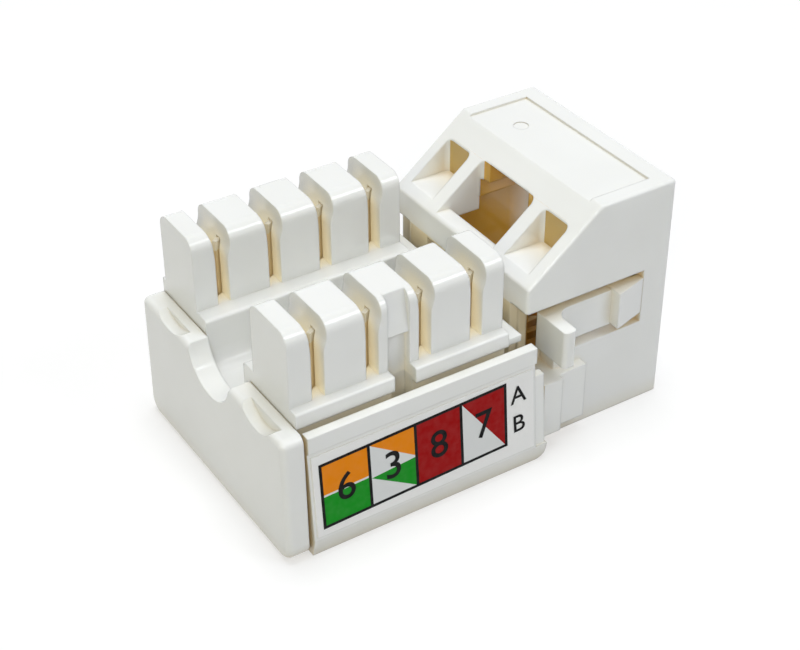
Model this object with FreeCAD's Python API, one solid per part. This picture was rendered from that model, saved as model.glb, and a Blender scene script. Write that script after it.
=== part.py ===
import FreeCAD, Part
import math
import os

from FreeCAD import Vector

# A right-angle RJ45 keystone jack.  +X points out of the plug opening, +Z up over the
# wire towers, -Y is the side with the snap latch and the wiring label.
# All sizes are in millimetres.

# Fits
seam = 0.05                      # gap between pieces that seat against each other
hole_clearance = 0.06            # around pins in the circuit board
slide_clearance = 0.08           # around pieces that slot into one another
hinge_clearance = 0.04           # around the latch root
chamber_clearance = 0.1          # around the board, its tongue and the contact carrier

# Modelling allowances
past = 1.0                       # how far a cut runs past the surface it opens
sunk = 0.2                       # how far one fused piece runs into another

# Terminal block, along X
slot_pitch = 3.59
slot_width = 0.85
slots_per_row = 4
end_tooth_length = 1.5

# Terminal block, across Y and up Z; half distances from the block's own centre line
block_offset = 0.5               # the block sits off the jack's centre line, away from the latch
tower_inner = 3.56
tower_outer = 7.73
tower_round = 0.85
tower_top = 14.8
lead_in = 0.22                   # how far each slot side leans out at its mouth
lead_in_start = 12.7
lead_in_end = 13.9
flange_overhang = 0.72           # past the towers' outer face
flange_plain_overhang = 0.39     # the flange is trimmed on the side away from the latch
flange_top = 9.83
flange_thickness = 1.03
flange_round = 0.25
flange_outer_round = 0.15
block_wall_inset = 0.4           # the body stands this much in from the flange
trough_half_width = 2.35
trough_floor = 6.5
trough_corner = 1.15
trough_wall = 1.0
step_length = 1.0                # lower ledge past the flange's front end
step_drop = 0.58
step_inset = 0.1
catch_groove_width = 1.45
catch_groove_depth = 0.55
catch_ramp_bottom = 12.05
catch_ramp_inset = 0.58          # from the towers' outer face, at the top
catch_ramp_foot_inset = 0.08     # and at the foot
catch_pad_depth = 1.5

# Base tray
panel_clearance = 0.55           # between the terminal block's body and the side panels
end_plate_stand = 0.75           # the end plate stands this much out of the panels' inside
end_plate_thickness = 1.4
end_plate_height = 8.9
end_plate_draft = 0.2            # each side leans out this much at the foot
end_plate_round = 1.1
end_plate_top_round = 0.5
end_plate_edge_round = 0.4
notch_radius = 2.65
notch_axis_z = 9.35
scoop_depth = 0.75
latch_scoop_y = 5.78             # scoop in the plate's top edge, latch side
latch_scoop_half_width = 1.78
latch_scoop_drop = 0.84
plain_scoop_y = 5.22             # and the shallower one opposite
plain_scoop_half_width = 1.62
plain_scoop_drop = 0.45
floor_thickness = 1.3
slit = 0.25
lip_stand = 0.8                  # these stand out from the panels' inside
lip_top = 8.69
lip_bottom = 7.57
lip_thickness = 0.65
lip_overhang = 1.47              # how far the lip runs past the terminal block
panel_shoulder_stand = 0.62
panel_shoulder_z = 7.42
panel_ridge_stand = 1.15
panel_ridge_z = 1.3
panel_foot_stand = 0.85
strip_length = 0.75
strip_top = 6.4
strip_inset = 0.14
rail_height = 0.7
rail_width = 0.4
rail_inset = 0.1                 # from the board's edge
tongue_length = 6.6
tongue_half_width = 5.3

# Port block
throat = 1.76                    # from the terminal block to the brow
port_depth = 11.03
port_width = 14.7
port_height = 16.0
brow_bottom = 10.0
brow_top = 11.79
brow_overhang = 0.58
slope_run = 5.25
port_round = 0.22
port_front_round = 0.28
rear_wall = 0.65
rear_wall_half_width = 6.0
rear_pad_half_width = 5.6        # this much of the rear wall is flush with the brow
housing_floor = 0.6
housing_front_wall = 1.3
cavity_half_width = 5.92
cavity_floor = 5.1
cavity_height = 6.8
cavity_step_drop = 0.75          # the cavity is lower behind the keyway
key_half_width = 3.05
key_height = 1.5
tab_half_width = 2.05
tab_height = 1.35
window_half_width = 2.85
window_floor = 11.95
window_depth = 3.75
pocket_inner = 3.9
pocket_margin = 0.9              # from the block's side
pocket_floor = 12.3
pocket_depth = 3.63
opening_round = 0.45
panel_recess_margin = 1.05
panel_recess_depth = 0.15
panel_recess_front = 1.4
pin_mark_radius = 0.49
pin_mark_depth = 0.06
pin_mark_setback = 3.85
pin_mark_y = 3.53
rear_opening_half_width = 3.55
rear_opening_top = 9.8
stop_depth = 2.35
stop_stand = 0.7                 # out of the block's side
stop_post_depth = 1.25
stop_post_stand = 1.15
stop_bottom = 1.1
stop_top = 5.15
stop_front = 6.7                 # from the port face back to the panel stop

# Snap latch and the fixed catch opposite it
groove_bottom = 6.2
groove_top = 10.05
groove_front = 2.0               # from the port face back to the groove's end
latch_bottom = 6.8
latch_height = 2.6
latch_inset = 0.15               # from the block's side
latch_thickness = 0.6
lever_reach = 9.5
lever_thickness = 0.9
lever_setback = 1.33             # from the brow to the lever's back
catch_stand = 0.65
catch_length = 2.38
catch_crest_length = 0.15
wedge_raise = 0.1                # the wedges sit this much above the arm
latch_root_radius = 0.42
latch_root_gap = 0.12            # from the root to the groove's end
latch_root_stand = 0.02          # the root stands this much out of the arm
latch_end_gap = 0.02             # from the wedge to the groove's end
latch_fillet = 1.0
lever_tip_round = 0.3

# Circuit board, contacts and their carrier
board_thickness = 1.0
board_inset = 0.05               # from the terminal block's wall
board_neck_half_width = 5.2
board_shoulder = 0.4             # how far the wide part runs past the terminal block
board_end_gap = 0.5
terminal_shift = 0.95            # off the towers' middle, towards the latch
terminal_width = 2.2
terminal_thickness = 0.3
terminal_angle = 30.0            # from the row's own direction
terminal_top = 13.5
terminal_gap = 0.28
terminal_gap_bottom = 8.2
terminal_mouth = 0.5
terminal_mouth_depth = 0.6
tail_width = 0.6
tail_reach = 0.35
contact_count = 8
contact_pitch = 1.02
contact_width = 0.45
contact_thickness = 0.3
contact_bend_radius = 0.5
contact_rise_angle = 24.0
contact_run_z = 3.4
contact_tail_pitch = 1.6
contact_tail_gap = 1.2           # from the comb to the first row of tails
contact_bend_gap = 0.35          # from the carrier's front end
carrier_half_width = 5.5
carrier_rear_gap = 0.15          # from the rear wall
carrier_end_gap = 0.5            # from the chamber's front wall
carrier_lip = 0.2                # left whole in front of the contact slots
carrier_relief = 0.6             # dip between the comb and the contact tails
carrier_slot_width = 0.62
comb_thickness = 1.0
comb_half_width = 4.35
comb_top = 8.3
comb_slot_bottom = 5.9
comb_slot_setback = 0.25         # behind the comb's middle

# Wiring label
label_thickness = 0.08
label_margin = 0.2
label_top = 7.15
label_bottom = 1.55

# Worked-out places along X
block_length = (slots_per_row - 1) * slot_pitch + slot_width + 2 * end_tooth_length
total_length = end_plate_thickness + seam + block_length + throat + port_depth
rear_x = -total_length / 2
port_x = total_length / 2
plate_x = rear_x + end_plate_thickness
block_x = plate_x + seam
block_end_x = block_x + block_length
brow_x = block_end_x + throat
wall_x = brow_x + brow_overhang
wall_inside_x = wall_x + rear_wall
panel_x = plate_x + slit
lip_end_x = block_end_x + lip_overhang
strip_end_x = lip_end_x + strip_length
slope_top_x = brow_x + slope_run
groove_end_x = port_x - groove_front
lever_x = brow_x + lever_setback
catch_end_x = groove_end_x - latch_end_gap
catch_x = catch_end_x - catch_length
root_x = groove_end_x - latch_root_radius - latch_root_gap

# Worked-out places across Y and up Z
port_side = port_width / 2
pocket_outer = port_side - pocket_margin
latch_outer = port_side - latch_inset
catch_crest = port_side + catch_stand
root_y = latch_outer - latch_root_radius + latch_root_stand
flange_edge = tower_outer + flange_overhang
flange_plain_edge = tower_outer + flange_plain_overhang
block_wall = flange_edge - block_offset - block_wall_inset
board_half_width = block_wall - board_inset
panel_inner = block_wall + panel_clearance
lip_outer = panel_inner + lip_stand
panel_shoulder = panel_inner + panel_shoulder_stand
panel_ridge = panel_inner + panel_ridge_stand
panel_foot = panel_inner + panel_foot_stand
end_plate_half_width = panel_inner + end_plate_stand
row_centre = (tower_inner + tower_outer) / 2
terminal_ys = {side: side * row_centre - terminal_shift for side in (-1, 1)}
board_z = floor_thickness + rail_height
board_top = board_z + board_thickness
flange_bottom = flange_top - flange_thickness
tower_foot = flange_top - sunk
cavity_top = cavity_floor + cavity_height
key_top = cavity_top + key_height
tab_top = key_top + tab_height
latch_top = latch_bottom + latch_height
wedge_bottom = latch_bottom + wedge_raise
wedge_top = latch_top + wedge_raise
slot_centres = [block_x + end_tooth_length + slot_width / 2 + slot_pitch * k
                for k in range(slots_per_row)]
carrier_x = wall_inside_x + carrier_rear_gap
carrier_end_x = port_x - housing_front_wall - carrier_end_gap
contact_ys = [contact_pitch * (k - (contact_count - 1) / 2) for k in range(contact_count)]


def block(x0, x1, y0, y1, z0, z1):
    """Box between two corners."""
    return Part.makeBox(x1 - x0, y1 - y0, z1 - z0, Vector(x0, y0, z0))


def prism_along_x(points, x0, x1):
    """Extrude a closed (y, z) outline from x0 to x1."""
    corners = [Vector(x0, y, z) for y, z in points]
    face = Part.Face(Part.makePolygon(corners + corners[:1]))
    return face.extrude(Vector(x1 - x0, 0, 0))


def prism_along_y(points, y0, y1):
    """Extrude a closed (x, z) outline from y0 to y1."""
    corners = [Vector(x, y0, z) for x, z in points]
    face = Part.Face(Part.makePolygon(corners + corners[:1]))
    return face.extrude(Vector(0, y1 - y0, 0))


def prism_along_z(points, z0, z1):
    """Extrude a closed (x, y) outline from z0 to z1."""
    corners = [Vector(x, y, z0) for x, y in points]
    face = Part.Face(Part.makePolygon(corners + corners[:1]))
    return face.extrude(Vector(0, 0, z1 - z0))


def rod_along_x(radius, y, z, x0, x1):
    return Part.makeCylinder(radius, x1 - x0, Vector(x0, y, z), Vector(1, 0, 0))


def rod_along_z(radius, x, y, z0, z1):
    return Part.makeCylinder(radius, z1 - z0, Vector(x, y, z0), Vector(0, 0, 1))


def mirrored(shape):
    """The same shape on the other side of the centre line."""
    return shape.mirror(Vector(0, 0, 0), Vector(0, 1, 0))


def both_sides(shape):
    return [shape, mirrored(shape)]


def fused(shapes):
    return shapes[0].multiFuse(shapes[1:]).removeSplitter()


def rounded(shape, radius, chosen):
    """Fillet the edges whose middle and direction pass the test."""
    edges = []
    for edge in shape.Edges:
        middle = edge.valueAt((edge.FirstParameter + edge.LastParameter) / 2)
        along = edge.tangentAt((edge.FirstParameter + edge.LastParameter) / 2)
        if chosen(middle, along):
            edges.append(edge)
    return shape.makeFillet(radius, edges)


def near(a, b):
    return abs(a - b) < 0.001


# --------------------------------------------------------------------------- base tray

def scoop(y, half_width, drop):
    """Round-bottomed cut in the end plate's top edge, open to the rear."""
    radius = (half_width ** 2 + drop ** 2) / (2 * drop)
    return rod_along_x(radius, y, end_plate_height - drop + radius,
                       rear_x - past, rear_x + scoop_depth)


def end_plate():
    """Rounded plate across the cable end, with the cable notch and two thumb scoops."""
    half = end_plate_half_width
    foot = half + end_plate_draft
    plate = prism_along_x([(-foot, 0), (foot, 0), (half, end_plate_height),
                           (-half, end_plate_height)], rear_x, plate_x)
    plate = rounded(plate, end_plate_round,
                    lambda m, t: near(abs(t.x), 1) and m.z < end_plate_height / 2)
    plate = rounded(plate, end_plate_top_round,
                    lambda m, t: near(abs(t.x), 1) and near(m.z, end_plate_height))
    plate = rounded(plate, end_plate_edge_round, lambda m, t: near(m.x, rear_x))
    notch = rod_along_x(notch_radius, 0, notch_axis_z, rear_x - past, plate_x + past)
    return plate.cut([notch, scoop(-latch_scoop_y, latch_scoop_half_width, latch_scoop_drop),
                      scoop(plain_scoop_y, plain_scoop_half_width, plain_scoop_drop)])


def side_panel():
    """Panel on the latch side: a lip, then a face that leans out to a low ridge."""
    lip_inner = lip_outer - lip_thickness
    outline = [(-lip_outer, lip_top), (-lip_outer, lip_bottom),
               (-panel_shoulder, panel_shoulder_z), (-panel_ridge, panel_ridge_z),
               (-panel_foot, 0), (-panel_inner, 0),
               (-panel_inner, lip_bottom), (-lip_inner, lip_top)]
    panel = prism_along_x(outline, panel_x, lip_end_x)
    slope = (panel_ridge - panel_shoulder) / (panel_shoulder_z - panel_ridge_z)
    strip_edge = panel_shoulder + slope * (panel_shoulder_z - strip_top) - strip_inset
    strip = [(-strip_edge, strip_top), (-panel_ridge + strip_inset, panel_ridge_z),
             (-panel_inner, panel_ridge_z), (-panel_inner, strip_top)]
    end = prism_along_x(strip, lip_end_x, strip_end_x)
    foot = [(-panel_ridge, panel_ridge_z), (-panel_foot, 0),
            (-panel_inner, 0), (-panel_inner, panel_ridge_z)]
    toe = prism_along_x(foot, lip_end_x, wall_x)
    toe = rounded(toe, panel_ridge_z / 2,
                  lambda m, t: near(m.x, wall_x) and m.z < 0.01)
    return fused([panel, end, toe])


def base_tray():
    """Floor, end plate, two side panels, board rails and the tongue under the port block."""
    floor = block(plate_x - sunk, wall_x - seam, -panel_inner - sunk, panel_inner + sunk,
                  0, floor_thickness)
    tongue_x = wall_x + tongue_length
    tongue = block(wall_x - sunk, tongue_x, -tongue_half_width, tongue_half_width,
                   housing_floor + seam, floor_thickness)
    pieces = [end_plate(), floor, tongue] + both_sides(side_panel())
    rail_outer = board_half_width - rail_inset
    rail = block(panel_x, block_end_x, rail_outer - rail_width, rail_outer,
                 floor_thickness - sunk, board_z)
    neck_rail = block(wall_x - sunk, tongue_x, tongue_half_width - rail_width,
                      tongue_half_width, floor_thickness - sunk, board_z)
    pieces += both_sides(rail) + both_sides(neck_rail)
    gap = block(plate_x, panel_x, panel_inner, panel_ridge + past, -past,
                end_plate_height + past)
    return fused(pieces).cut(both_sides(gap))


def wiring_label():
    """Printed sticker on the leaning face of the latch-side panel."""
    slope = (panel_ridge - panel_shoulder) / (panel_shoulder_z - panel_ridge_z)
    top_y = -panel_shoulder - slope * (panel_shoulder_z - label_top)
    bottom_y = -panel_shoulder - slope * (panel_shoulder_z - label_bottom)
    outline = [(top_y, label_top), (bottom_y, label_bottom),
               (bottom_y - label_thickness, label_bottom), (top_y - label_thickness, label_top)]
    return prism_along_x(outline, panel_x + label_margin, lip_end_x - label_margin)


# ---------------------------------------------------------------------- terminal block

def lead_in_curve(x):
    """S-shaped lead-in on a tooth's rear side, from its foot up to its head."""
    height = lead_in_end - lead_in_start
    radius = (height ** 2 + lead_in ** 2) / (4 * lead_in)
    sweep = math.asin(height / 2 / radius)
    bulge = radius * (1 - math.cos(sweep / 2))
    rise = radius * math.sin(sweep / 2)
    foot = Vector(x, 0, lead_in_start)
    middle = Vector(x + lead_in / 2, 0, (lead_in_start + lead_in_end) / 2)
    head = Vector(x + lead_in, 0, lead_in_end)
    lower = Part.Arc(foot, Vector(x + bulge, 0, lead_in_start + rise), middle)
    upper = Part.Arc(middle, Vector(head.x - bulge, 0, lead_in_end - rise), head)
    return [lower.toShape(), upper.toShape()]


def leaning_arc(x):
    """Arc on a tooth's front side that leans in towards the top."""
    height = tower_top - lead_in_start
    radius = (height ** 2 + lead_in ** 2) / (2 * lead_in)
    turn = math.asin(height / radius) / 2
    middle = Vector(x - radius * (1 - math.cos(turn)), 0,
                    lead_in_start + radius * math.sin(turn))
    top = Vector(x - lead_in, 0, tower_top)
    return Part.Arc(Vector(x, 0, lead_in_start), middle, top).toShape()


def line(start, end):
    return Part.makeLine(start, end)


def tooth_outline(x0, x1, slot_behind, slot_ahead):
    """Tooth seen from the side of the jack; only sides that face a slot are shaped."""
    foot_start = Vector(x0, 0, tower_foot)
    foot_end = Vector(x1, 0, tower_foot)
    top_start = Vector(x0, 0, tower_top)
    top_end = Vector(x1, 0, tower_top)
    edges = [line(foot_start, foot_end)]
    if slot_ahead:
        top_end.x -= lead_in
        edges += [line(foot_end, Vector(x1, 0, lead_in_start)), leaning_arc(x1)]
    else:
        edges.append(line(foot_end, top_end))
    if slot_behind:
        top_start.x += lead_in
        edges.append(line(top_start, Vector(top_start.x, 0, lead_in_end)))
        edges += lead_in_curve(x0)
        edges.append(line(Vector(x0, 0, lead_in_start), foot_start))
    else:
        edges.append(line(top_start, foot_start))
    edges.append(line(top_end, top_start))
    return Part.Face(Part.Wire(Part.__sortEdges__(edges)))


def tooth(x0, x1, slot_behind, slot_ahead):
    """One tower tooth on the +Y row: flat top, rounded over its inner and outer edges."""
    face = tooth_outline(x0, x1, slot_behind, slot_ahead)
    face.translate(Vector(0, tower_inner, 0))
    shaped = face.extrude(Vector(0, tower_outer - tower_inner, 0))
    body = block(x0, x1, tower_inner, tower_outer, tower_foot, tower_top)
    body = rounded(body, tower_round,
                   lambda m, t: near(abs(t.x), 1) and near(m.z, tower_top))
    return body.common(shaped)


def catch_strip(x0, x1):
    """Sloping pad on the middle tooth, above the groove that guides the lid's catch."""
    inner = tower_outer - catch_pad_depth
    outline = [(inner, flange_top), (inner, tower_top),
               (tower_outer - catch_ramp_inset, tower_top),
               (tower_outer - catch_ramp_foot_inset, catch_ramp_bottom),
               (tower_outer - catch_groove_depth, catch_ramp_bottom),
               (tower_outer - catch_groove_depth, flange_top)]
    return prism_along_x(outline, x0, x1)


def tower_row():
    """Five teeth with four wire slots between them, on the +Y side."""
    starts = [block_x] + [x + slot_width / 2 for x in slot_centres]
    ends = [x - slot_width / 2 for x in slot_centres] + [block_end_x]
    teeth = []
    for k in range(slots_per_row + 1):
        teeth.append(tooth(starts[k], ends[k], k > 0, k < slots_per_row))
    return teeth


def catch_groove_span():
    middle = slots_per_row // 2
    centre = (slot_centres[middle - 1] + slot_centres[middle]) / 2
    return centre - catch_groove_width / 2, centre + catch_groove_width / 2


def terminal_slot(x, side):
    """Slanted slot that a terminal blade stands in."""
    length = terminal_width + 2 * slide_clearance
    width = terminal_thickness + 2 * slide_clearance
    cut = block(-length / 2, length / 2, -width / 2, width / 2,
                board_top - past, terminal_top + slide_clearance)
    cut.rotate(Vector(0, 0, 0), Vector(0, 0, 1), terminal_angle)
    cut.translate(Vector(x, terminal_ys[side], 0))
    return cut


def trough():
    """Cable trough: upright sides, rounded corners and a flat floor."""
    start = block_x - past
    end = block_end_x + step_length + past
    centre = trough_half_width - trough_corner
    corner_z = trough_floor + trough_corner
    upper = block(start, end, -trough_half_width, trough_half_width, corner_z, tower_top)
    lower = block(start, end, -centre, centre, trough_floor, corner_z + past)
    corners = both_sides(rod_along_x(trough_corner, centre, corner_z, start, end))
    return fused([upper, lower] + corners)


def flange_bar():
    """Flange that the towers of one row stand on, soft along its top edges."""
    bar = block(block_x, block_end_x, trough_half_width, flange_edge,
                flange_bottom, flange_top)
    bar = rounded(bar, flange_round,
                  lambda m, t: near(m.y, trough_half_width) and near(m.z, flange_top))
    return rounded(bar, flange_outer_round,
                   lambda m, t: near(m.y, flange_edge) and near(m.z, flange_top))


def terminal_block():
    """Moulded block with two rows of towers either side of the cable trough."""
    body = block(block_x, block_end_x, -block_wall - block_offset, block_wall - block_offset,
                 board_top, flange_bottom + sunk)
    groove_start, groove_end = catch_groove_span()
    step = block(block_end_x - sunk, block_end_x + step_length,
                 trough_half_width + step_inset, flange_edge - step_inset,
                 flange_bottom, flange_top - step_drop)
    gap = block(groove_start, groove_end, tower_outer - catch_groove_depth,
                flange_edge + past, board_top - past, tower_top + past)
    strip = catch_strip(groove_start, groove_end)
    solid = fused([body] + both_sides(flange_bar()) + both_sides(step))
    rows = []
    for row_tooth in tower_row():
        rows += both_sides(row_tooth)
    solid = fused([solid] + rows)
    corner = block(groove_start, groove_end, tower_outer - catch_pad_depth, flange_edge + past,
                   catch_ramp_bottom, tower_top + past)
    solid = solid.cut(both_sides(gap) + both_sides(corner))
    solid = fused([solid] + both_sides(strip))
    hollow = block(block_x + trough_wall, block_end_x - trough_wall, -trough_half_width,
                   trough_half_width, board_top - past, trough_floor - trough_wall)
    trim = block(block_x - past, block_end_x + step_length + past, flange_plain_edge,
                 flange_edge + past, board_top, flange_top + past)
    slots = [terminal_slot(x, side) for x in slot_centres for side in (-1, 1)]
    solid = solid.cut([trough(), hollow, trim] + slots).removeSplitter()
    solid.translate(Vector(0, block_offset, 0))
    return solid


def idc_terminal(x, side):
    """Forked blade that cuts through a wire's sheath, with a tail for the board."""
    half = terminal_width / 2
    gap = terminal_gap / 2
    mouth = terminal_mouth / 2
    tail = tail_width / 2
    bottom = board_z - tail_reach
    mouth_bottom = terminal_top - terminal_mouth_depth
    points = [(-half, board_top), (-tail, board_top), (-tail, bottom), (tail, bottom),
              (tail, board_top), (half, board_top), (half, terminal_top),
              (mouth, terminal_top), (gap, mouth_bottom), (gap, terminal_gap_bottom),
              (-gap, terminal_gap_bottom), (-gap, mouth_bottom),
              (-mouth, terminal_top), (-half, terminal_top)]
    blade = prism_along_y(points, -terminal_thickness / 2, terminal_thickness / 2)
    blade.rotate(Vector(0, 0, 0), Vector(0, 0, 1), terminal_angle)
    blade.translate(Vector(x, block_offset + terminal_ys[side], 0))
    return blade


# ----------------------------------------------------------------------- circuit board

def contact_tail_x(k):
    """Contact tails stand in two staggered rows."""
    return carrier_x + comb_thickness + contact_tail_gap + contact_tail_pitch * (k % 2)


def circuit_board():
    """Board that joins each wire terminal to its plug contact."""
    wide = block(panel_x, block_end_x + board_shoulder, -board_half_width, board_half_width,
                 board_z, board_top)
    neck = block(block_end_x, wall_x + tongue_length - board_end_gap,
                 -board_neck_half_width, board_neck_half_width, board_z, board_top)
    holes = []
    tail_radius = math.hypot(tail_width, terminal_thickness) / 2 + hole_clearance
    for x in slot_centres:
        for side in (-1, 1):
            holes.append(rod_along_z(tail_radius, x, block_offset + terminal_ys[side],
                                     board_z - past, board_top + past))
    pin_radius = math.hypot(contact_width, contact_thickness) / 2 + hole_clearance
    for k, y in enumerate(contact_ys):
        holes.append(rod_along_z(pin_radius, contact_tail_x(k), y, board_z - past, board_top + past))
    return fused([wide, neck]).cut(holes)


def contact_path(k):
    """Inner and outer lines of one contact wire, as a closed face in the XZ plane."""
    angle = math.radians(contact_rise_angle)
    inner = contact_bend_radius
    outer = contact_bend_radius + contact_thickness
    tail_x = contact_tail_x(k)
    run_bottom = contact_run_z - contact_thickness / 2
    run_top = contact_run_z + contact_thickness / 2
    centre = Vector(carrier_end_x - outer - contact_bend_gap, 0, run_bottom + outer)
    end_x = carrier_x + comb_thickness / 2

    def around(radius, turn):
        return Vector(centre.x + radius * math.sin(turn), 0, centre.z - radius * math.cos(turn))

    last = math.pi - angle
    outer_start = around(outer, 0)
    outer_end = around(outer, last)
    inner_start = around(inner, 0)
    inner_end = around(inner, last)
    arm = (outer_end.x - end_x) / math.cos(angle)
    rise = Vector(-math.cos(angle), 0, math.sin(angle)) * arm
    half = contact_thickness / 2
    tail_bottom = board_z - tail_reach
    edges = [
        line(Vector(tail_x - half, 0, tail_bottom), Vector(tail_x - half, 0, run_top)),
        line(Vector(tail_x - half, 0, run_top), inner_start),
        Part.Arc(inner_start, around(inner, last / 2), inner_end).toShape(),
        line(inner_end, inner_end + rise),
        line(inner_end + rise, outer_end + rise),
        line(outer_end + rise, outer_end),
        Part.Arc(outer_end, around(outer, last / 2), outer_start).toShape(),
        line(outer_start, Vector(tail_x + half, 0, run_bottom)),
        line(Vector(tail_x + half, 0, run_bottom), Vector(tail_x + half, 0, tail_bottom)),
        line(Vector(tail_x + half, 0, tail_bottom), Vector(tail_x - half, 0, tail_bottom)),
    ]
    return Part.Face(Part.Wire(Part.__sortEdges__(edges)))


def contact_wire(k):
    """Sprung plug contact: board tail, forward run, bend at the mouth, rising arm."""
    face = contact_path(k)
    face.translate(Vector(0, contact_ys[k] - contact_width / 2, 0))
    return face.extrude(Vector(0, contact_width, 0))


def contact_carrier():
    """Comb that spaces the contact wires and closes the plug cavity's floor."""
    top = cavity_floor - seam
    base = block(carrier_x, carrier_end_x, -carrier_half_width, carrier_half_width,
                 board_top, top)
    comb = block(carrier_x, carrier_x + comb_thickness, -comb_half_width, comb_half_width,
                 board_top, comb_top)
    solid = fused([base, comb])
    run_bottom = contact_run_z - contact_thickness / 2
    half = carrier_slot_width / 2
    cuts = []
    for k, y in enumerate(contact_ys):
        tail_x = contact_tail_x(k)
        cuts.append(block(tail_x - half, carrier_end_x - carrier_lip, y - half, y + half,
                          run_bottom, top + past))
        cuts.append(block(tail_x - half, tail_x + half, y - half, y + half,
                          board_top - past, run_bottom + sunk))
        cuts.append(block(carrier_x + comb_thickness / 2 - comb_slot_setback, tail_x, y - half, y + half,
                          comb_slot_bottom, comb_top + past))
        cuts.append(block(carrier_x + comb_thickness, tail_x, y - half, y + half,
                          top - carrier_relief, top + past))
    return solid.cut(cuts).removeSplitter()


# -------------------------------------------------------------------------- port block

def port_shell():
    """Outer form of the port block: brow, sloping back, flat top, soft edges."""
    outline = [(brow_x, brow_bottom), (brow_x, brow_top), (slope_top_x, port_height),
               (port_x, port_height), (port_x, 0), (wall_x, 0), (wall_x, brow_bottom)]
    shell = prism_along_y(outline, -port_side, port_side)
    shell = rounded(shell, port_front_round, lambda m, t: near(m.x, port_x))
    return rounded(shell, port_round,
                   lambda m, t: m.z > brow_bottom + 0.1 and m.x < port_x - port_front_round)


def slope_opening(y0, y1, x1, floor):
    """Opening down into the sloping back, with rounded corners where it meets the slope."""
    cut = block(brow_x - past, x1, y0, y1, floor, port_height + past)
    return rounded(cut, opening_round, lambda m, t: near(m.x, x1) and near(abs(t.z), 1))


def plug_cavity():
    """Space for the plug body with the stepped keyway for its release tab."""
    low_top = cavity_top - cavity_step_drop
    start = brow_x + window_depth - sunk
    rear = block(wall_inside_x, start + sunk, -cavity_half_width, cavity_half_width,
                 cavity_floor, low_top)
    main = block(start, port_x + past, -cavity_half_width, cavity_half_width,
                 cavity_floor, cavity_top)
    key = block(start, port_x + past, -key_half_width, key_half_width,
                cavity_top - sunk, key_top)
    tab = block(start, port_x + past, -tab_half_width, tab_half_width,
                key_top - sunk, tab_top)
    return [rear, main, key, tab]


def chamber():
    """Room under the plug cavity for the tongue, the board and the contact carrier."""
    room = block(wall_inside_x, port_x - housing_front_wall, -carrier_half_width - chamber_clearance,
                 carrier_half_width + chamber_clearance, housing_floor, cavity_floor + sunk)
    mouth = block(wall_x - past, wall_inside_x + sunk, -tongue_half_width - chamber_clearance,
                  tongue_half_width + chamber_clearance, housing_floor,
                  board_top + chamber_clearance)
    opening = block(brow_x - past, wall_inside_x + sunk, -rear_opening_half_width,
                    rear_opening_half_width, board_z, rear_opening_top)
    return [room, mouth, opening]


def latch_groove():
    """Side groove the latch swings in, with the round seat for its root."""
    inner = cavity_half_width - sunk
    span = block(wall_x - past, root_x - latch_root_radius / 2, -port_side - past, -inner,
                 groove_bottom, groove_top)
    open_end = block(root_x - latch_root_radius, groove_end_x, -port_side - past, -root_y,
                     groove_bottom, groove_top)
    seat = rod_along_z(latch_root_radius + hinge_clearance, root_x, -root_y,
                       latch_bottom - hinge_clearance, wedge_top + hinge_clearance)
    corner = block(wall_x - past, lever_x + lever_thickness, -port_side - past,
                   -rear_wall_half_width, stop_top, groove_top)
    return [span, open_end, seat, corner]


def panel_stops():
    """Two-stage posts that the panel's back rests against, on the latch side."""
    stop_end = port_x - stop_front
    stop = block(stop_end - stop_depth, stop_end, -port_side - stop_stand,
                 -port_side + sunk, stop_bottom, stop_top)
    post_end = stop_end - stop_depth
    post = block(post_end - stop_post_depth, post_end + sunk, -port_side - stop_post_stand,
                 -port_side + sunk, stop_bottom, stop_top)
    return [stop, post]


def catch_wedge(root):
    """Snap wedge seen from above: steep rear face, long ramp to the front."""
    return [(catch_x, -root), (catch_x, -catch_crest), (catch_x + catch_crest_length, -catch_crest),
            (catch_end_x, -port_side), (catch_end_x, -root)]


def fixed_catch():
    """Rigid wedge on the side opposite the latch."""
    return mirrored(prism_along_z(catch_wedge(port_side - sunk), wedge_bottom, wedge_top))


def front_housing():
    """One moulding: plug cavity, sloping back with its openings, latch groove, stops."""
    pad = block(brow_x, wall_x + sunk, -rear_pad_half_width, rear_pad_half_width,
                board_top + chamber_clearance, brow_bottom + sunk)
    solid = fused([port_shell(), pad, fixed_catch()] + panel_stops()
                  + [mirrored(post) for post in panel_stops()])
    window = slope_opening(-window_half_width, window_half_width,
                           brow_x + window_depth, window_floor)
    drop = block(wall_inside_x, brow_x + window_depth, -window_half_width,
                 window_half_width, cavity_floor + past, window_floor + sunk)
    pocket = slope_opening(pocket_inner, pocket_outer, brow_x + pocket_depth, pocket_floor)
    recess_half = port_side - panel_recess_margin
    recess = block(brow_x, port_x - panel_recess_front, -recess_half, recess_half,
                   port_height - panel_recess_depth, port_height + past)
    mark = rod_along_z(pin_mark_radius, port_x - pin_mark_setback, pin_mark_y,
                       port_height - panel_recess_depth - pin_mark_depth, port_height)
    cuts = [window, drop, recess, mark] + both_sides(pocket)
    cuts += plug_cavity() + chamber() + latch_groove()
    return solid.cut(cuts).removeSplitter()


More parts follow.
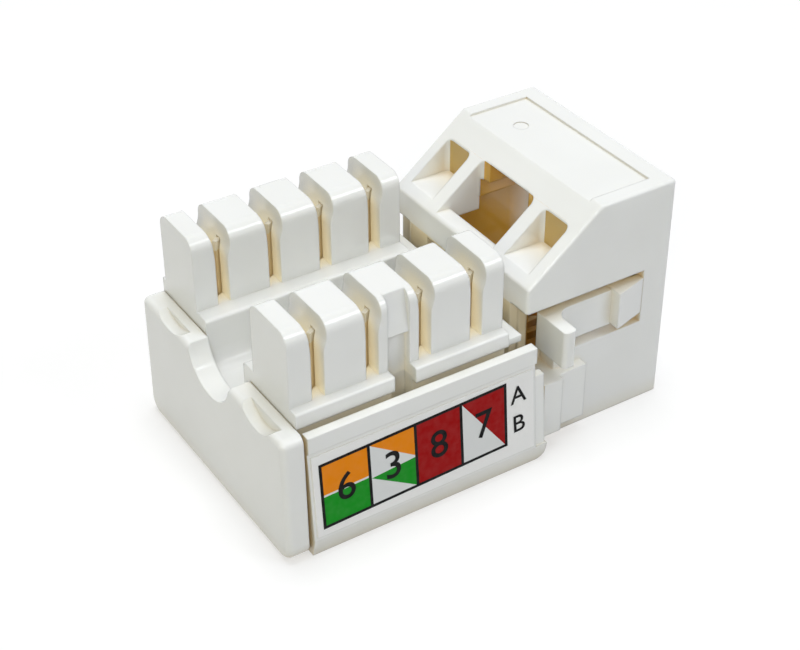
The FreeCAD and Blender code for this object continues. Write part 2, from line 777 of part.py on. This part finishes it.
def keystone_latch():
    """Snap latch: round root, long arm with the wedge on it, and the release lever."""
    inner = latch_outer - latch_thickness
    lever_end = lever_x + lever_thickness
    arm = prism_along_z([(lever_x, -inner), (lever_x, -lever_reach),
                         (lever_end, -lever_reach), (lever_end, -latch_outer),
                         (root_x, -latch_outer), (root_x, -inner)], latch_bottom, latch_top)
    arm = rounded(arm, latch_fillet,
                  lambda m, t: near(abs(t.z), 1) and near(m.x, lever_end)
                  and near(m.y, -latch_outer))
    arm = rounded(arm, lever_tip_round,
                  lambda m, t: near(m.y, -lever_reach) and near(abs(t.z), 1))
    wedge_body = prism_along_z(catch_wedge(inner), wedge_bottom, wedge_top)
    trim = block(root_x, catch_end_x + past, -root_y, 0, latch_bottom - past, latch_top + past)
    root = rod_along_z(latch_root_radius, root_x, -root_y, latch_bottom, latch_top)
    return fused([arm, wedge_body.cut(trim), root])


# ------------------------------------------------------------------------------ output

def save(shape, name):
    shape.exportStep("parts/" + name + ".step")


def build():
    os.makedirs("parts", exist_ok=True)
    save(base_tray(), "base_tray")
    save(wiring_label(), "wiring_label")
    save(terminal_block(), "terminal_block")
    save(circuit_board(), "circuit_board")
    save(contact_carrier(), "contact_carrier")
    save(front_housing(), "front_housing")
    save(keystone_latch(), "keystone_latch")
    number = 0
    for side in (-1, 1):
        for x in slot_centres:
            number += 1
            save(idc_terminal(x, side), "idc_terminal_%d" % number)
    for k in range(contact_count):
        save(contact_wire(k), "contact_wire_%d" % (k + 1))


build()
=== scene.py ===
import math
from collections import namedtuple

import bpy
from mathutils import Matrix, Vector


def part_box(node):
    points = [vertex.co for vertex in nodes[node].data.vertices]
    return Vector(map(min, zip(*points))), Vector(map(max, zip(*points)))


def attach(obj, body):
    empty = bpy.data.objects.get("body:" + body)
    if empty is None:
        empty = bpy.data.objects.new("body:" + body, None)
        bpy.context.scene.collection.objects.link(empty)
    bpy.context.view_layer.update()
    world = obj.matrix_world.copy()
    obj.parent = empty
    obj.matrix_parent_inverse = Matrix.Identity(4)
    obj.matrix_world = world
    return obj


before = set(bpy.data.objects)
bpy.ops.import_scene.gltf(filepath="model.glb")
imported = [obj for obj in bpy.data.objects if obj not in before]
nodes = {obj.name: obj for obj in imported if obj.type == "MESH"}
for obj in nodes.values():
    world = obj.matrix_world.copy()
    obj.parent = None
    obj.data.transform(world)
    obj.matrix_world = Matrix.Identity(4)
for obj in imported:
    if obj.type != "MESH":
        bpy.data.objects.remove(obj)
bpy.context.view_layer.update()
scene = bpy.context.scene

MM = 0.001


# ------------------------------------------------------------------ node-tree helpers

# A box between two corners, in which surfaces take a painted colour that stands in for shade or
# glow. The colour thins out over the fade, a length at the box's +X end.
Room = namedtuple("Room", "low high colour fade", defaults=(0.0,))

# Sockets of a Mix node that mixes colours.
MIX_SHARE, MIX_FIRST, MIX_SECOND = 0, 6, 7
MIX_RESULT = 2


class Tree:
    """Adds nodes to one new material and links them."""

    def __init__(self, name):
        self.material = bpy.data.materials.new(name)
        self.material.use_nodes = True
        self.tree = self.material.node_tree
        self.tree.nodes.clear()
        self.out = self.add("ShaderNodeOutputMaterial")

    def add(self, kind, **settings):
        node = self.tree.nodes.new(kind)
        for key, value in settings.items():
            setattr(node, key, value)
        return node

    def link(self, source, target):
        self.tree.links.new(source, target)

    def feed(self, target, value):
        """Links a socket, or sets it to a constant."""
        if isinstance(value, bpy.types.NodeSocket):
            self.link(value, target)
        else:
            target.default_value = value

    def math(self, operation, first, second):
        node = self.add("ShaderNodeMath", operation=operation)
        self.feed(node.inputs[0], first)
        self.feed(node.inputs[1], second)
        return node.outputs[0]

    def vector_math(self, operation, *values):
        node = self.add("ShaderNodeVectorMath", operation=operation)
        for target, value in zip(node.inputs, values):
            self.feed(target, value)
        return node.outputs[0]

    def components(self, vector):
        node = self.add("ShaderNodeSeparateXYZ")
        self.link(vector, node.inputs[0])
        return tuple(node.outputs)

    def place(self):
        """Place on the object, in the row frame."""
        return self.add("ShaderNodeTexCoord").outputs["Object"]

    def noise(self, scale, detail=3.0, roughness=0.5, stretch=(1, 1, 1)):
        mapping = self.add("ShaderNodeMapping")
        mapping.inputs["Scale"].default_value = stretch
        self.link(self.place(), mapping.inputs["Vector"])
        node = self.add("ShaderNodeTexNoise")
        node.inputs["Scale"].default_value = scale
        node.inputs["Detail"].default_value = detail
        node.inputs["Roughness"].default_value = roughness
        self.link(mapping.outputs["Vector"], node.inputs["Vector"])
        return node.outputs["Fac"]

    def ramp(self, value, *stops):
        """Colour ramp through stops of (position, colour)."""
        node = self.add("ShaderNodeValToRGB")
        bar = node.color_ramp
        while len(bar.elements) < len(stops):
            bar.elements.new(0.5)
        for element, (position, colour) in zip(bar.elements, stops):
            element.position = position
            element.color = (*colour, 1)
        self.link(value, node.inputs["Fac"])
        return node.outputs["Color"]

    def span(self, value, low, high, from_low=0.0, from_high=1.0):
        """Stretches the range from_low to from_high onto low to high."""
        node = self.add("ShaderNodeMapRange")
        node.inputs["From Min"].default_value = from_low
        node.inputs["From Max"].default_value = from_high
        node.inputs["To Min"].default_value = low
        node.inputs["To Max"].default_value = high
        self.link(value, node.inputs["Value"])
        return node.outputs["Result"]

    def mixed(self, share, first, second, how="MIX"):
        node = self.add("ShaderNodeMix", data_type="RGBA", blend_type=how)
        self.feed(node.inputs[MIX_SHARE], share)
        for socket, colour in ((MIX_FIRST, first), (MIX_SECOND, second)):
            self.feed(node.inputs[socket], (*colour, 1) if isinstance(colour, tuple) else colour)
        return node.outputs[MIX_RESULT]

    def shader(self, **constants):
        """Principled shader; a constant's name is its socket's, with _ for a space."""
        node = self.add("ShaderNodeBsdfPrincipled")
        for key, value in constants.items():
            node.inputs[key.replace("_", " ")].default_value = value
        self.link(node.outputs["BSDF"], self.out.inputs["Surface"])
        return node

    def openness(self, reach):
        """How open the surroundings are within a reach, from 0 to 1."""
        node = self.add("ShaderNodeAmbientOcclusion", samples=12)
        node.inputs["Distance"].default_value = reach
        return node.outputs["AO"]

    def within(self, room):
        """1 on surfaces inside a room and 0 on all others, thinning out over its fade."""
        low, high = Vector(room.low), Vector(room.high)
        offset = self.vector_math("SUBTRACT", self.place(), (low + high) / 2)
        share = self.vector_math("DIVIDE", self.vector_math("ABSOLUTE", offset),
                                 (high - low) / 2)
        across_x, across_y, across_z = self.components(share)
        farthest = self.math("MAXIMUM", self.math("MAXIMUM", across_x, across_y), across_z)
        inside = self.math("LESS_THAN", farthest, 1.0)
        if not room.fade:
            return inside
        end = (high.x - low.x) / 2
        thinned = self.span(self.components(offset)[0], 1.0, 0.0, end - room.fade, end)
        return self.math("MULTIPLY", inside, thinned)

    def relief(self, height, strength, depth, edge=None):
        """Bump normal; an edge radius also softens the part's sharp edges."""
        bump = self.add("ShaderNodeBump")
        bump.inputs["Strength"].default_value = strength
        bump.inputs["Distance"].default_value = depth
        self.link(height, bump.inputs["Height"])
        if edge:
            bevel = self.add("ShaderNodeBevel", samples=8)
            bevel.inputs["Radius"].default_value = edge
            self.link(bevel.outputs["Normal"], bump.inputs["Normal"])
        return bump.outputs["Normal"]


def linear(red, green, blue):
    """Screen colour (0 to 255) as a linear one."""
    def one(value):
        value /= 255
        return value / 12.92 if value <= 0.04045 else ((value + 0.055) / 1.055) ** 2.4
    return one(red), one(green), one(blue)


def shaded(colour, shade):
    """A colour times a shade given for each channel."""
    return tuple(channel * share for channel, share in zip(colour, shade))


# ------------------------------------------------------------------ kinds of material

CORNER_REACH = 2.2 * MM
# How open the surroundings are on a slot's floor, in a corner and on a free face.
SLOT_OPENNESS, CORNER_OPENNESS, FREE_OPENNESS = 0.12, 0.5, 0.85
# The painted glow is weaker in the depth of a slot, and has gone a little way past a corner.
DEPTH_OPENNESS, GLOW_END_OPENNESS = 0.02, 0.56
DEPTH_SHADE = (0.6, 0.6, 0.6)


def moulded_plastic(name, colour, corner_shade, slot_shade, roughness=0.13,
                    edge=0.14 * MM, rooms=(), glow=None):
    """Polished mould finish, with painted shade in corners and slots. The glow is a room in
    which the slots glow with a painted light."""
    t = Tree(name)
    shader = t.shader(IOR=1.5, Subsurface_Weight=0.1, Subsurface_Scale=0.5 * MM,
                      Subsurface_Radius=(1.0, 0.95, 0.8), Coat_Weight=0.35,
                      Coat_Roughness=0.05)
    openness = t.openness(CORNER_REACH)
    # Painted shade: by how open the surroundings are, the colour turns to the slot shade in
    # slots and darkens in corners.
    tone = t.ramp(openness, (SLOT_OPENNESS, slot_shade),
                  (CORNER_OPENNESS, shaded(colour, corner_shade)), (FREE_OPENNESS, colour))
    # Each room paints a shade colour over its box.
    for room in rooms:
        tone = t.mixed(t.within(room), tone, room.colour)
    cloud = t.ramp(t.noise(scale=180.0, detail=2.0), (0.35, (0.975, 0.975, 0.97)),
                   (0.65, (1, 1, 1)))
    t.link(t.mixed(1.0, tone, cloud, "MULTIPLY"), shader.inputs["Base Color"])
    # Painted light: surfaces inside the glow's room glow with emission, most in slots.
    if glow:
        light = t.ramp(openness, (DEPTH_OPENNESS, shaded(glow.colour, DEPTH_SHADE)),
                       (SLOT_OPENNESS, glow.colour), (GLOW_END_OPENNESS, (0, 0, 0)))
        t.link(t.mixed(t.within(glow), (0, 0, 0), light), shader.inputs["Emission Color"])
        shader.inputs["Emission Strength"].default_value = 1.0
    t.link(t.span(t.noise(scale=900.0, detail=4.0), roughness - 0.03, roughness + 0.04),
           shader.inputs["Roughness"])
    grain = t.noise(scale=2600.0, detail=2.0)
    t.link(t.relief(grain, strength=0.05, depth=0.03 * MM, edge=edge),
           shader.inputs["Normal"])
    return t.material


def plated_metal(name, dark, bright, roughness, metallic=1.0, shade_room=None):
    """Rolled strip with a thin plating: fine upright lines and soft blotches. The strip takes a
    painted shade inside the room that is given for it."""
    t = Tree(name)
    shader = t.shader(Metallic=metallic)
    lines = t.noise(scale=3000.0, roughness=0.6, stretch=(1, 1, 0.06))
    blotches = t.noise(scale=500.0)
    tone = t.mixed(0.5, t.ramp(blotches, (0.3, dark), (0.7, bright)), bright)
    tone = t.mixed(0.35, tone, t.ramp(lines, (0.3, dark), (0.7, bright)))
    # Painted shade over the strip inside its room.
    if shade_room:
        tone = t.mixed(t.within(shade_room), tone, shade_room.colour)
    t.link(tone, shader.inputs["Base Color"])
    t.link(t.span(lines, roughness - 0.06, roughness + 0.1), shader.inputs["Roughness"])
    t.link(t.relief(lines, strength=0.15, depth=0.02 * MM, edge=0.05 * MM),
           shader.inputs["Normal"])
    return t.material


def solder_mask(name):
    """Green lacquer over faint copper tracks."""
    t = Tree(name)
    shader = t.shader(Coat_Weight=0.5, Coat_Roughness=0.15)
    tracks = t.add("ShaderNodeTexWave", wave_type="BANDS", bands_direction="Y")
    tracks.inputs["Scale"].default_value = 400.0
    tracks.inputs["Distortion"].default_value = 3.0
    t.link(t.place(), tracks.inputs["Vector"])
    t.link(t.ramp(tracks.outputs["Fac"], (0.45, (0.012, 0.1, 0.035)),
                  (0.6, (0.03, 0.19, 0.07))), shader.inputs["Base Color"])
    t.link(t.span(t.noise(scale=1500.0), 0.3, 0.42), shader.inputs["Roughness"])
    t.link(t.relief(tracks.outputs["Fac"], strength=0.2, depth=0.02 * MM),
           shader.inputs["Normal"])
    return t.material


def printed_film(name, colour, roughness=0.34):
    """Ink or bare film: an even colour with a slightly uneven cover and little gloss."""
    t = Tree(name)
    shader = t.shader(Specular_IOR_Level=0.05)
    pale = tuple(channel + (1 - channel) * 0.02 for channel in colour)
    t.link(t.ramp(t.noise(scale=2200.0, detail=4.0), (0.3, colour), (0.75, pale)),
           shader.inputs["Base Color"])
    t.link(t.span(t.noise(scale=1400.0), roughness - 0.05, roughness + 0.06),
           shader.inputs["Roughness"])
    grain = t.noise(scale=5000.0, detail=2.0)
    t.link(t.relief(grain, strength=0.05, depth=0.01 * MM), shader.inputs["Normal"])
    return t.material


# ------------------------------------------------------------------ the jack's materials

WHITE = linear(239, 240, 238)
IVORY = linear(222, 200, 150)
# Painted shade: amber in the socket, tan under the brow, ochre on the pocket walls and brown at
# the carrier's rear.
AMBER_SOCKET_SHADE = (0.72, 0.41, 0.06)
TAN_BROW_SHADE = (0.86, 0.74, 0.5)
OCHRE_POCKET_SHADE = (0.6, 0.41, 0.13)
BROWN_REAR_SHADE = (0.5, 0.27, 0.05)
# Painted shade in slots and deep gaps, one for each material.
CREAM_SLOT_SHADE = (0.94, 0.88, 0.7)
TAN_SLOT_SHADE = (0.8, 0.62, 0.34)
DARK_SLOT_SHADE = (0.74, 0.6, 0.36)
IVORY_SLOT_SHADE = (0.75, 0.55, 0.28)

# Places in the port block: along X from its rear edge, across Y from the port's middle.
SOCKET_START = 3.7 * MM
SOCKET_END_MARGIN = 0.2 * MM     # from the front face
SOCKET_HALF_WIDTH = 6.1 * MM
SOCKET_BOTTOM = 1.8 * MM
SOCKET_TOP = 14.76 * MM
SOCKET_FADE = 2.6 * MM
POCKET_WALL_START = 3.55 * MM    # the pockets end in a wall just before the socket
POCKET_INNER = 3.85 * MM
POCKET_OUTER = 6.5 * MM
POCKET_BOTTOM = 12.2 * MM
POCKET_TOP = 14.6 * MM
SHADE_OVERHANG = 0.05 * MM       # the shade under the brow starts just behind it
SHADE_DEPTH = 1.3 * MM
SHADE_LATCH_SIDE = 7.0 * MM
SHADE_PLAIN_SIDE = 7.3 * MM
SHADE_TOP = 9.97 * MM
CARRIER_REAR_DEPTH = 5.0 * MM
CARRIER_REAR_TOP = 9.0 * MM
CARRIER_REAR_FADE = 1.5 * MM

# Places in the terminal block, whose towers stand above its flanges.
TROUGH_LATCH_SIDE = 3.0 * MM
TROUGH_PLAIN_SIDE = 4.0 * MM
TROUGH_TOP = 10.2 * MM
TROUGH_SHADE = (0.91, 0.91, 0.91)
SLOT_BOTTOM = 9.0 * MM
# Painted glow: emission colour in the slots of the terminal block.
PAINTED_SLOT_GLOW = (0.126, 0.104, 0.06)
SHANK_TOP = 12.9 * MM            # the terminals' tips show above this
# Painted shade on the terminals' shanks down in the slots.
SHANK_SHADE = (0.82, 0.7, 0.48)

port_low, port_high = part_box("front_housing")
block_low, block_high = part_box("terminal_block")


def port_plastic():
    """The port block: painted amber shade in the socket and pockets, painted tan shade under the
    brow.
    """
    start = port_low.x + SOCKET_START
    # Painted shade rooms: amber in the socket, tan under the brow, ochre on the pocket walls.
    socket = Room((start, -SOCKET_HALF_WIDTH, SOCKET_BOTTOM),
                  (port_high.x - SOCKET_END_MARGIN, SOCKET_HALF_WIDTH, SOCKET_TOP),
                  AMBER_SOCKET_SHADE, SOCKET_FADE)
    shade = Room((port_low.x - SHADE_OVERHANG, -SHADE_LATCH_SIDE, port_low.z),
                 (port_low.x + SHADE_DEPTH, SHADE_PLAIN_SIDE, SHADE_TOP), TAN_BROW_SHADE)
    pocket_walls = [Room((port_low.x + POCKET_WALL_START, y_low, POCKET_BOTTOM),
                         (start, y_high, POCKET_TOP), OCHRE_POCKET_SHADE)
                    for y_low, y_high in ((-POCKET_OUTER, -POCKET_INNER),
                                          (POCKET_INNER, POCKET_OUTER))]
    return moulded_plastic("port_plastic", WHITE, corner_shade=(1.0, 0.97, 0.9),
                           slot_shade=TAN_SLOT_SHADE, edge=0.2 * MM,
                           rooms=[socket, shade, *pocket_walls])


def block_plastic():
    """The terminal block: a painted grey shade in the trough, and a painted glow in its slots.
    """
    trough = Room((block_low.x, -TROUGH_LATCH_SIDE, block_low.z),
                  (block_high.x, TROUGH_PLAIN_SIDE, TROUGH_TOP), shaded(WHITE, TROUGH_SHADE))
    slots = Room((block_low.x, block_low.y, SLOT_BOTTOM), block_high, PAINTED_SLOT_GLOW)
    return moulded_plastic("block_plastic", WHITE, corner_shade=(0.86, 0.865, 0.87),
                           slot_shade=CREAM_SLOT_SHADE, rooms=[trough], glow=slots)


def carrier_plastic():
    """The contact carrier: satin ivory, with a painted brown shade at its rear end."""
    rear = Room((port_low.x, -SOCKET_HALF_WIDTH, port_low.z),
                (port_low.x + CARRIER_REAR_DEPTH, SOCKET_HALF_WIDTH, CARRIER_REAR_TOP),
                BROWN_REAR_SHADE, CARRIER_REAR_FADE)
    return moulded_plastic("carrier_plastic", IVORY, corner_shade=(1, 1, 1),
                           slot_shade=IVORY_SLOT_SHADE, roughness=0.34, edge=0.08 * MM,
                           rooms=[rear])


def terminal_metal():
    """Tinned terminals: bright tips, and shanks with a painted shade down in the slots."""
    shanks = Room((block_low.x, block_low.y, 0.0), (block_high.x, block_high.y, SHANK_TOP),
                  SHANK_SHADE)
    return plated_metal("terminal_metal", linear(206, 198, 178), linear(250, 246, 234),
                        roughness=0.4, metallic=0.6, shade_room=shanks)


# A node takes the look of its name without the number at the end.
LOOKS = {
    "base_tray": moulded_plastic("moulded_plastic", WHITE, corner_shade=(0.95, 0.92, 0.85),
                                 slot_shade=DARK_SLOT_SHADE),
    "keystone_latch": moulded_plastic("latch_plastic", WHITE, corner_shade=(0.96, 0.91, 0.81),
                                      slot_shade=DARK_SLOT_SHADE),
    "terminal_block": block_plastic(),
    "front_housing": port_plastic(),
    "contact_carrier": carrier_plastic(),
    "idc_terminal": terminal_metal(),
    "contact_wire": plated_metal("contact_metal", linear(196, 148, 62),
                                 linear(244, 206, 120), roughness=0.24),
    "circuit_board": solder_mask("solder_mask"),
    "wiring_label": printed_film("label_film", linear(247, 247, 246), roughness=0.28),
}

for name, node in nodes.items():
    node.data.materials.clear()
    node.data.materials.append(LOOKS[name.rstrip("_0123456789")])


# --------------------------------------------------------------------- label printing

FILM_THICKNESS = 0.08 * MM
PRINT_GAP = 0.012 * MM           # between the film and the print, and between its layers
PRINT_MARGIN = 0.5 * MM          # from the film's -X end
PRINT_TILT = 0.033               # the print sits askew: its rise over its length
CELLS = 4
CELL_WIDTH = 3.223 * MM
CELL_TOP = 0.72 * MM             # down from the film's top edge
CELL_HEIGHT = 4.37 * MM
RULE_WIDTH = 0.2 * MM
HALF_GAP = 0.07 * MM             # half the white line between two colours
DIGITS = "6387"
DIGIT_SIZE = 2.7 * MM
LETTERS = "AB"
LETTER_SIZE = 1.72 * MM
LETTER_MARGIN = 0.95 * MM        # from the last cell to the letters' middle
LETTER_DROP = 1.85 * MM
LETTER_PITCH = 2.09 * MM
STROKE_SPREAD = 0.006            # of a character's size
STROKE_STEPS = 6                 # along each curve of a character's outline

INKS = {
    "black": printed_film("ink_black", linear(14, 14, 16)),
    "orange": printed_film("ink_orange", linear(240, 140, 14)),
    "green": printed_film("ink_green", linear(22, 148, 34)),
    "brown": printed_film("ink_brown", linear(160, 8, 9)),
    "white": printed_film("ink_white", linear(228, 230, 230)),
}

along = Vector((1, 0, 0))
film_low, film_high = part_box("wiring_label")
# The film leans: its outer face comes out from the top edge to the bottom edge.
top_edge = Vector((0, film_high.y - FILM_THICKNESS, film_high.z))
bottom_edge = Vector((0, film_low.y, film_low.z))
down = (bottom_edge - top_edge).normalized()
outward = down.cross(along)
print_start = film_low.x + PRINT_MARGIN
cell_bottom = CELL_TOP + CELL_HEIGHT


def cell_edge(index):
    """X of the rule before a cell; half an index further is the cell's middle."""
    return print_start + index * CELL_WIDTH


def on_label(x, drop, layer=1):
    """Point over the film: x along the jack, a drop down the film, and a print layer."""
    skew = PRINT_TILT * (x - print_start)
    return along * x + top_edge + down * (drop - skew) + outward * layer * PRINT_GAP


def add_print(name, mesh):
    """A printed piece, which rides with the label."""
    piece = bpy.data.objects.new(name, mesh)
    scene.collection.objects.link(piece)
    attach(piece, "jack")


def print_patches(name, patches):
    """One flat print layer made of coloured polygons given as (ink, corner list)."""
    points, faces = [], []
    for _, corners in patches:
        start = len(points)
        points += [on_label(x, drop) for x, drop in corners]
        faces.append(tuple(range(start, start + len(corners))))
    mesh = bpy.data.meshes.new(name)
    mesh.from_pydata(points, [], faces)
    used = sorted({ink for ink, _ in patches})
    for ink in used:
        mesh.materials.append(INKS[ink])
    for polygon, (ink, _) in zip(mesh.polygons, patches):
        polygon.material_index = used.index(ink)
    mesh.update()
    add_print(name, mesh)


def print_character(name, text, x, drop, size):
    """One plain character over the cells."""
    curve = bpy.data.curves.new(name, "FONT")
    curve.body = text
    curve.size = size
    curve.align_x = "CENTER"
    curve.align_y = "CENTER"
    curve.offset = size * STROKE_SPREAD
    curve.resolution_u = STROKE_STEPS
    holder = bpy.data.objects.new(name + "_curve", curve)
    scene.collection.objects.link(holder)
    bpy.context.view_layer.update()
    evaluated = holder.evaluated_get(bpy.context.evaluated_depsgraph_get())
    mesh = bpy.data.meshes.new_from_object(evaluated)
    bpy.data.objects.remove(holder)
    across = (along - down * PRINT_TILT).normalized()
    place = Matrix((across, outward.cross(across), outward)).transposed().to_4x4()
    place.translation = on_label(x, drop, layer=2)
    mesh.transform(place)
    mesh.materials.clear()
    mesh.materials.append(INKS["black"])
    add_print(name, mesh)


def rectangle(x0, x1, drop0, drop1):
    return [(x0, drop0), (x0, drop1), (x1, drop1), (x1, drop0)]


def cell_box(index):
    """A cell inside its rules: X at both sides, then the drop of its top and bottom."""
    half_rule = RULE_WIDTH / 2
    return (cell_edge(index) + half_rule, cell_edge(index + 1) - half_rule,
            CELL_TOP + half_rule, cell_bottom - half_rule)


def halved_cell():
    """Orange over green, with a white line between."""
    x0, x1, drop0, drop1 = cell_box(0)
    middle = (drop0 + drop1) / 2
    return [("orange", rectangle(x0, x1, drop0, middle - HALF_GAP)),
            ("white", rectangle(x0, x1, middle - HALF_GAP, middle + HALF_GAP)),
            ("green", rectangle(x0, x1, middle + HALF_GAP, drop1))]


def striped_cell():
    """An orange and a green triangle, each with its point at the left, on white."""
    x0, x1, drop0, drop1 = cell_box(1)
    middle = (drop0 + drop1) / 2
    point = middle + 3 * HALF_GAP
    right_upper, right_lower = middle - HALF_GAP, middle + HALF_GAP
    return [("orange", [(x0, drop0), (x1, right_upper), (x1, drop0)]),
            ("white", [(x0, drop0), (x0, point), (x1, right_lower), (x1, right_upper)]),
            ("green", [(x0, point), (x1, drop1), (x1, right_lower)]),
            ("white", [(x0, point), (x0, drop1), (x1, drop1)])]


def solid_cell():
    return [("brown", rectangle(*cell_box(2)))]


def split_cell():
    """Brown over white, split from corner to corner."""
    x0, x1, drop0, drop1 = cell_box(3)
    return [("brown", [(x0, drop0), (x1, drop1), (x1, drop0)]),
            ("white", [(x0, drop0), (x0, drop1), (x1, drop1)])]


def rules():
    """Black rules above, below, beside and between the cells."""
    half_rule = RULE_WIDTH / 2
    start, end = cell_edge(0) - half_rule, cell_edge(CELLS) + half_rule
    level = [rectangle(start, end, drop - half_rule, drop + half_rule)
             for drop in (CELL_TOP, cell_bottom)]
    upright = [rectangle(x - half_rule, x + half_rule, CELL_TOP + half_rule,
                         cell_bottom - half_rule)
               for x in map(cell_edge, range(CELLS + 1))]
    return [("black", corners) for corners in level + upright]


print_patches("label_cells", halved_cell() + striped_cell() + solid_cell() + split_cell())
print_patches("label_rules", rules())
for k, digit in enumerate(DIGITS):
    print_character("label_digit_%d" % (k + 1), digit, cell_edge(k + 0.5),
                    CELL_TOP + CELL_HEIGHT / 2, DIGIT_SIZE)
for k, letter in enumerate(LETTERS):
    print_character("label_letter_%d" % (k + 1), letter, cell_edge(CELLS) + LETTER_MARGIN,
                    LETTER_DROP + k * LETTER_PITCH, LETTER_SIZE)


# ---------------------------------------------------------------------- stage, lights

FLOOR_SIZE = 1.6
FLOOR_SINK = 0.02 * MM           # keeps the floor clear of the jack's underside
FLOOR_GREY = (0.5, 0.5, 0.5, 1)  # takes the lamps' light and the jack's shadow
FLOOR_GLOW = 0.5                 # lifts the grey to white where it is seen
WHITE_LIGHT = (1, 1, 1, 1)
ROOM_LIGHT = (0.95, 0.97, 1.0, 1)
ROOM_STRENGTH = 0.25
LAMP_AIM = Vector((0, 0, 7 * MM))


def seen_share(tree):
    """1 for rays from the camera, a mirror or a clear surface, else 0."""
    path = tree.nodes.new("ShaderNodeLightPath")
    share = path.outputs["Is Camera Ray"]
    for kind in ("Is Glossy Ray", "Is Transmission Ray"):
        either = tree.nodes.new("ShaderNodeMath")
        either.operation = "MAXIMUM"
        tree.links.new(share, either.inputs[0])
        tree.links.new(path.outputs[kind], either.inputs[1])
        share = either.outputs[0]
    return share


def make_floor():
    t = Tree("stage_floor")
    matt = t.add("ShaderNodeBsdfDiffuse")
    matt.inputs["Color"].default_value = FLOOR_GREY
    glow = t.add("ShaderNodeEmission")
    glow.inputs["Color"].default_value = WHITE_LIGHT
    t.link(t.math("MULTIPLY", seen_share(t.tree), FLOOR_GLOW), glow.inputs["Strength"])
    both = t.add("ShaderNodeAddShader")
    t.link(matt.outputs[0], both.inputs[0])
    t.link(glow.outputs[0], both.inputs[1])
    t.link(both.outputs[0], t.out.inputs["Surface"])
    bpy.ops.mesh.primitive_plane_add(size=FLOOR_SIZE, location=(0, 0, -FLOOR_SINK))
    floor = bpy.context.object
    floor.name = "floor"
    floor.data.materials.append(t.material)


def make_world():
    """Plain dim room light on the jack, and white where the world itself is seen."""
    world = bpy.data.worlds.new("studio")
    scene.world = world
    world.use_nodes = True
    tree = world.node_tree
    tree.nodes.clear()
    out = tree.nodes.new("ShaderNodeOutputWorld")
    room = tree.nodes.new("ShaderNodeBackground")
    room.inputs["Color"].default_value = ROOM_LIGHT
    room.inputs["Strength"].default_value = ROOM_STRENGTH
    white = tree.nodes.new("ShaderNodeBackground")
    white.inputs["Color"].default_value = WHITE_LIGHT
    mix = tree.nodes.new("ShaderNodeMixShader")
    tree.links.new(seen_share(tree), mix.inputs[0])
    tree.links.new(room.outputs[0], mix.inputs[1])
    tree.links.new(white.outputs[0], mix.inputs[2])
    tree.links.new(mix.outputs[0], out.inputs["Surface"])


def softbox(name, towards, reach, size, watts, colour, mirrored=True):
    """Rectangular lamp at a distance along a direction, facing the jack's middle; one that
    is not mirrored makes no highlights."""
    lamp = bpy.data.lights.new(name, "AREA")
    lamp.shape = "RECTANGLE"
    lamp.size, lamp.size_y = size
    lamp.energy = watts
    lamp.color = colour
    holder = bpy.data.objects.new(name, lamp)
    direction = Vector(towards).normalized()
    holder.location = LAMP_AIM + direction * reach
    holder.rotation_mode = "QUATERNION"
    holder.rotation_quaternion = (-direction).to_track_quat("-Z", "Y")
    holder.visible_glossy = mirrored
    scene.collection.objects.link(holder)


make_floor()
make_world()
# One wide lamp above lights the tops. The small ones light the sides, and those that are
# mirrored draw the edges.
softbox("lamp_top", towards=(0.05, 0.1, 1.0), reach=0.6, size=(0.3, 0.3), watts=2.08,
        colour=(0.98, 0.99, 1.0), mirrored=False)
softbox("lamp_left", towards=(-1.0, -0.3, 0.4), reach=0.4, size=(0.25, 0.25), watts=0.19,
        colour=(1.0, 0.93, 0.5))
softbox("lamp_view", towards=(-0.46, -0.68, 0.57), reach=0.4, size=(0.15, 0.15), watts=0.395,
        colour=(0.98, 0.99, 1.0))
softbox("lamp_back", towards=(0.1, 1.0, 0.16), reach=0.4, size=(0.25, 0.1), watts=0.3,
        colour=(1.0, 0.99, 0.97), mirrored=False)
softbox("lamp_edge", towards=(0.44, -0.58, 0.69), reach=0.4, size=(0.12, 0.12), watts=0.22,
        colour=(0.94, 0.97, 1.0))


# ----------------------------------------------------------------------------- camera

CAMERA_PLACE = Vector((-48.08, -73.66, 68.82)) * MM
AZIMUTH = math.radians(-32.603)
ELEVATION = math.radians(35.403)
ROLL = math.radians(-0.185)
LENS = 76.62
SENSOR_WIDTH = 36
CLIP_START, CLIP_END = 0.005, 10


def make_camera():
    """The photo's camera: high on the latch side, towards the cable's end."""
    back = Vector((math.sin(AZIMUTH) * math.cos(ELEVATION),
                   -math.cos(AZIMUTH) * math.cos(ELEVATION), math.sin(ELEVATION)))
    right = Vector((0, 0, 1)).cross(back).normalized()
    up = back.cross(right)
    rolled_right = right * math.cos(ROLL) + up * math.sin(ROLL)
    rolled_up = up * math.cos(ROLL) - right * math.sin(ROLL)
    camera_data = bpy.data.cameras.new("camera")
    camera_data.lens = LENS
    camera_data.sensor_width = SENSOR_WIDTH
    camera_data.clip_start = CLIP_START
    camera_data.clip_end = CLIP_END
    camera = bpy.data.objects.new("camera", camera_data)
    camera.matrix_world = Matrix((rolled_right, rolled_up, back)).transposed().to_4x4()
    camera.location = CAMERA_PLACE
    scene.collection.objects.link(camera)
    scene.camera = camera


make_camera()
scene.view_settings.view_transform = "Standard"
